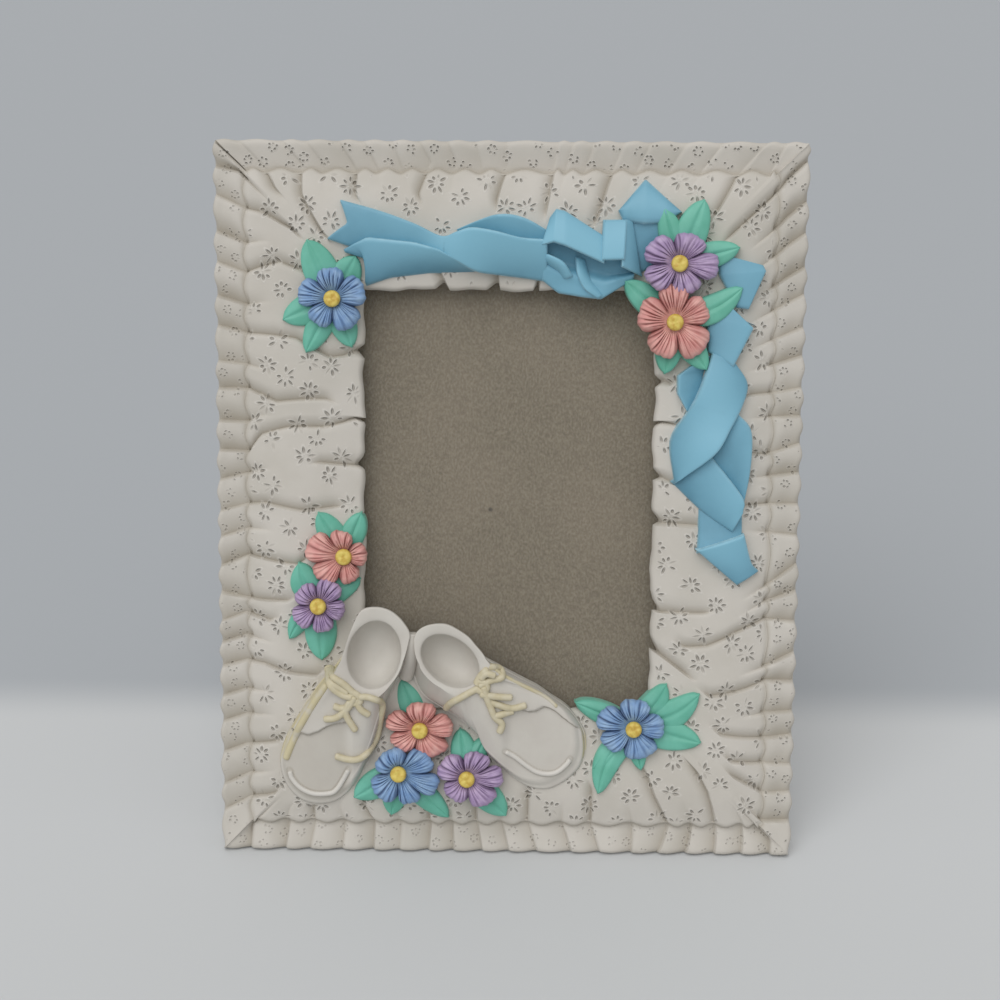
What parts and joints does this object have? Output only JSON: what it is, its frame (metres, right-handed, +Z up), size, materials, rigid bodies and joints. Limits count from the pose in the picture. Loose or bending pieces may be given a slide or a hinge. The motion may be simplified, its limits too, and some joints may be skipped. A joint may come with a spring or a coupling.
{
  "type": "baby photo frame",
  "caption": "Cast resin photo frame shaped like gathered eyelet cloth, with ribbon, flowers and baby shoes in relief, glass and board in a rebate, standing on a folding easel leg.",
  "frame": {"origin": "on the flat ground along the frame's lower edge, in the middle of its length", "axes": "+Z up, +Y from the front to the back where the easel leg stands, +X to the right as seen from the front"},
  "size_m": [0.167, 0.085, 0.199],
  "materials": {
    "resin": "matte, antique cream wash in the folds",
    "ribbon_blue": "satin paint",
    "shoe_white": "matte paint",
    "lace_cream": "matte paint",
    "leaf_green": "satin paint",
    "petal_blue": "satin paint",
    "petal_purple": "satin paint",
    "petal_pink": "satin paint",
    "centre_yellow": "satin paint",
    "glass": "clear, polished",
    "chipboard": "bare grey-brown chipboard",
    "steel": "zinc plated"
  },
  "bodies": {
    "frame": {"resin_frame": "resin", "ribbon_lower_tail": "ribbon_blue", "ribbon_swallowtail": "ribbon_blue", "ribbon_run": "ribbon_blue", "ribbon_bow": "ribbon_blue", "ribbon_upper_loop": "ribbon_blue", "ribbon_right_loop_upper": "ribbon_blue", "ribbon_right_loop_lower": "ribbon_blue", "ribbon_side_upper": "ribbon_blue", "ribbon_side_middle": "ribbon_blue", "ribbon_side_end": "ribbon_blue", "left_shoe": "shoe_white", "right_shoe": "shoe_white", "left_shoe_laces": "lace_cream", "right_shoe_laces": "lace_cream", "leaf_spray_top_left": "leaf_green", "leaf_spray_top_right": "leaf_green", "leaf_spray_left": "leaf_green", "leaf_spray_bottom": "leaf_green", "leaf_spray_bottom_right": "leaf_green", "petals_blue_top_left": "petal_blue", "petals_purple_top_right": "petal_purple", "petals_pink_top_right": "petal_pink", "petals_pink_left": "petal_pink", "petals_purple_left": "petal_purple", "petals_pink_bottom": "petal_pink", "petals_blue_bottom": "petal_blue", "petals_purple_bottom": "petal_purple", "petals_blue_bottom_right": "petal_blue", "centre_blue_top_left": "centre_yellow", "centre_purple_top_right": "centre_yellow", "centre_pink_top_right": "centre_yellow", "centre_pink_left": "centre_yellow", "centre_purple_left": "centre_yellow", "centre_pink_bottom": "centre_yellow", "centre_blue_bottom": "centre_yellow", "centre_purple_bottom": "centre_yellow", "centre_blue_bottom_right": "centre_yellow", "glass_pane": "glass", "backing_board": "chipboard", "hinge_leaf_board": "steel", "hinge_pin": "steel", "board_rivet_left": "steel", "board_rivet_right": "steel", "button_screw_upper_left": "steel", "button_screw_upper_right": "steel", "button_screw_lower_left": "steel", "button_screw_lower_right": "steel"},
    "leg": {"easel_leg": "chipboard", "hinge_leaf_leg": "steel", "leg_rivet_left": "steel", "leg_rivet_right": "steel"},
    "button_upper_left": {"turn_button_upper_left": "steel"},
    "button_upper_right": {"turn_button_upper_right": "steel"},
    "button_lower_left": {"turn_button_lower_left": "steel"},
    "button_lower_right": {"turn_button_lower_right": "steel"}
  },
  "joints": [
    {"name": "easel_hinge", "type": "hinge", "parent": "frame", "child": "leg", "pos_m": [0, 0.04189, 0.13393], "axis": [1, 0, 0], "range_deg": [-28, 0]},
    {"name": "turn_upper_left", "type": "hinge", "parent": "frame", "child": "button_upper_left", "pos_m": [-0.05025, 0.04196, 0.13806], "axis": [0, 0.9659, -0.2588], "continuous": true},
    {"name": "turn_upper_right", "type": "hinge", "parent": "frame", "child": "button_upper_right", "pos_m": [0.05025, 0.04196, 0.13806], "axis": [0, 0.9659, -0.2588], "continuous": true},
    {"name": "turn_lower_left", "type": "hinge", "parent": "frame", "child": "button_lower_left", "pos_m": [-0.05025, 0.02022, 0.05692], "axis": [0, 0.9659, -0.2588], "continuous": true},
    {"name": "turn_lower_right", "type": "hinge", "parent": "frame", "child": "button_lower_right", "pos_m": [0.05025, 0.02022, 0.05692], "axis": [0, 0.9659, -0.2588], "continuous": true}
  ]
}
